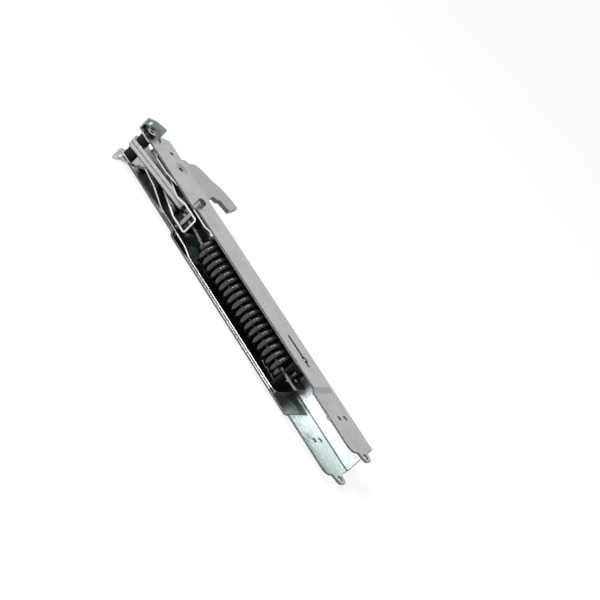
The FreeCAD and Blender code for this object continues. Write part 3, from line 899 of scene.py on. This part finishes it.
# %% Wind the spring
spring_low, spring_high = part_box("coil_spring")
wire = 4.6 * MM
wire_sides = 16
turns = 19
steps_per_turn = 36
closed_gap = 0.1 * MM
coil_radius = (spring_high.y - spring_low.y) / 2
mean_radius = coil_radius - wire / 2
axis_y = (spring_low.y + spring_high.y) / 2
first_x = spring_high.x - wire / 2
last_x = spring_low.x + wire / 2
closed_pitch = wire + closed_gap
open_pitch = (first_x - last_x - 2 * closed_pitch) / (turns - 2)
windings = [
    (first_x, closed_pitch, 1),
    (first_x - closed_pitch, open_pitch, turns - 2),
    (last_x + closed_pitch, closed_pitch, 1),
]
wound = []
for start_x, pitch, count in windings:
    bpy.ops.object.select_all(action="DESELECT")
    bpy.ops.mesh.primitive_circle_add(
        vertices=wire_sides,
        radius=wire / 2,
        location=(start_x, axis_y, 0),
        enter_editmode=True,
    )
    bpy.ops.transform.translate(value=(0, mean_radius, 0))
    bpy.ops.object.mode_set(mode="OBJECT")
    turn = bpy.context.object
    screw = turn.modifiers.new("winding", "SCREW")
    screw.axis = "X"
    screw.angle = math.radians(360)
    screw.screw_offset = -pitch
    screw.iterations = count
    screw.steps = steps_per_turn
    screw.render_steps = steps_per_turn
    bpy.ops.object.modifier_apply(modifier=screw.name)
    bpy.ops.object.transform_apply(location=True, rotation=True, scale=True)
    wound.append(turn)
print("open pitch", round(open_pitch / MM, 2), "mm")

# %% Join the windings and close the wire's ends
merge_distance = 0.01 * MM
sharp_angle = math.radians(40)
bpy.ops.object.select_all(action="DESELECT")
for turn in wound:
    turn.select_set(True)
coil = wound[1]
bpy.context.view_layer.objects.active = coil
bpy.ops.object.join()
coil.name = "wound_spring"
bpy.ops.object.mode_set(mode="EDIT")
bpy.ops.mesh.select_all(action="SELECT")
bpy.ops.mesh.remove_doubles(threshold=merge_distance)
bpy.ops.mesh.fill_holes(sides=wire_sides)
bpy.ops.mesh.select_all(action="SELECT")
bpy.ops.mesh.normals_make_consistent(inside=False)
bpy.ops.object.mode_set(mode="OBJECT")
bpy.ops.object.shade_smooth_by_angle(angle=sharp_angle)
bpy.context.scene.cursor.location = (0, 0, 0)
bpy.ops.object.origin_set(type="ORIGIN_CURSOR")
coil.data.materials.clear()
coil.data.materials.append(spring_wire_steel)
print("spring faces:", len(coil.data.polygons))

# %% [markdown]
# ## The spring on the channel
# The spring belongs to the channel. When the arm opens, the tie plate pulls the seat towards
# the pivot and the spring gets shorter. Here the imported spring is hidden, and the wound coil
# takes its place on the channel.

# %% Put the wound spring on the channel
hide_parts("coil_spring")
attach(coil, "channel")
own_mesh(coil)

# %% [markdown]
# ## A pale floor
# The hinge lies on a white sheet. The floor is an ordinary matt surface that takes the
# shadow. To the camera, and in the metal's reflections, it also glows a little, which makes
# it white there without a stronger lamp.

# %% Floor
floor_size = 30
floor_glow = 0.6
bpy.ops.object.select_all(action="DESELECT")
bpy.ops.mesh.primitive_plane_add(size=floor_size, location=(0, 0, cad_box[0].z))
floor = bpy.context.object
floor.name = "floor"
white_sheet, tree, shader = new_finish("white_paper", metallic=0.0)
shader.inputs["Base Color"].default_value = linear("e2e2e0")
shader.inputs["Roughness"].default_value = 0.9
shader.inputs["Specular IOR Level"].default_value = 0.1
ray = add_node(tree, "ShaderNodeLightPath")
seen = ray.outputs["Is Camera Ray"]
for kind in ("Is Glossy Ray", "Is Transmission Ray"):
    seen = add_node(
        tree,
        "ShaderNodeMath",
        settings={"operation": "MAXIMUM"},
        links={0: seen, 1: ray.outputs[kind]},
    ).outputs["Value"]
lift = add_node(
    tree,
    "ShaderNodeMath",
    settings={"operation": "MULTIPLY"},
    values={1: floor_glow},
    links={0: seen},
)
glow = add_node(tree, "ShaderNodeEmission", links={"Strength": lift.outputs["Value"]})
both = add_node(
    tree,
    "ShaderNodeAddShader",
    links={0: shader.outputs["BSDF"], 1: glow.outputs["Emission"]},
)
tree.links.new(both.outputs["Shader"], tree.nodes["Material Output"].inputs["Surface"])
floor.data.materials.append(white_sheet)
print("floor at", round(floor.location.z, 4))

# %% [markdown]
# ## Soft studio light
# Metal shows what is around it, so most of the look comes from the surroundings: a room with
# white walls and a greyer ceiling for reflections, and dimmer for light. The change from wall
# to ceiling is what tells one fold from the next. A small lamp over the open side fills the
# channel and puts glints on the spring's wire. A larger one above it fills the shadows that
# the first one leaves.

# %% World
wall_top = 0.34
ceiling_from = 0.62
wall_strength = 1.0
ceiling_strength = 0.6
light_strength = 0.45
scene = bpy.context.scene
world = bpy.data.worlds.new("white_room")
scene.world = world
world.use_nodes = True
tree = world.node_tree
background = tree.nodes["Background"]
ray = add_node(tree, "ShaderNodeLightPath")
direction = add_node(tree, "ShaderNodeTexCoord")
upward = add_node(tree, "ShaderNodeSeparateXYZ", links={"Vector": direction.outputs["Generated"]})
wall_to_ceiling = add_node(
    tree,
    "ShaderNodeMapRange",
    settings={"interpolation_type": "SMOOTHSTEP"},
    values={
        "From Min": wall_top,
        "From Max": ceiling_from,
        "To Min": wall_strength,
        "To Max": ceiling_strength,
    },
    links={"Value": upward.outputs["Z"]},
)
mirrored = add_node(
    tree,
    "ShaderNodeMath",
    settings={"operation": "MAXIMUM"},
    links={0: ray.outputs["Is Glossy Ray"], 1: ray.outputs["Is Transmission Ray"]},
)
room = add_node(
    tree,
    "ShaderNodeMix",
    values={NUMBER_A: light_strength},
    links={FACTOR: mirrored.outputs["Value"], NUMBER_B: wall_to_ceiling.outputs["Result"]},
)
strength = add_node(
    tree,
    "ShaderNodeMath",
    settings={"operation": "MAXIMUM"},
    links={0: room.outputs[NUMBER_OUT], 1: ray.outputs["Is Camera Ray"]},
)
tree.links.new(strength.outputs["Value"], background.inputs["Strength"])
background.inputs["Color"].default_value = linear("ffffff")
print(world.name, len(tree.nodes), "nodes")

# %% Lamps, each with its place and size in metres and its power in watts
middle = (cad_box[0] + cad_box[1]) / 2
lamps = [
    ("lamp_over_open_side", (0.25, 1.2, 0.45), 0.2, 4.6),
    ("lamp_above_open_side", (0.25, 0.93, 0.84), 0.42, 7),
]
for name, place_at, size, watts in lamps:
    lamp_data = bpy.data.lights.new(name, "AREA")
    lamp_data.size = size
    lamp_data.energy = watts
    lamp = bpy.data.objects.new(name, lamp_data)
    lamp.location = place_at
    aim = middle - Vector(place_at)
    lamp.rotation_euler = aim.to_track_quat("-Z", "Y").to_euler()
    scene.collection.objects.link(lamp)
print("lamps:", len(lamps))

# %% [markdown]
# ## Camera
# The camera stands where the picture was taken from: just over a metre off, above the open
# side and turned so that the channel runs down the picture. Its place, its turn and its focal
# length come from matching known points of the hinge with their places in the picture.

# %% Camera
camera_place = (-0.6034, 0.8703, 0.4180)
camera_turn_degrees = (60.174, -42.733, -134.092)
lens_data = bpy.data.cameras.new("camera")
lens_data.sensor_width = 36
lens_data.lens = 83.8
lens_data.clip_start = 0.05
lens_data.clip_end = 100
camera = bpy.data.objects.new("camera", lens_data)
camera.location = camera_place
turn_angles = [math.radians(angle) for angle in camera_turn_degrees]
camera.rotation_euler = Euler(turn_angles, "XYZ")
scene.collection.objects.link(camera)
scene.camera = camera
scene.view_settings.view_transform = "Standard"
print("camera to hinge:", round((camera.location - middle).length, 3), "m")
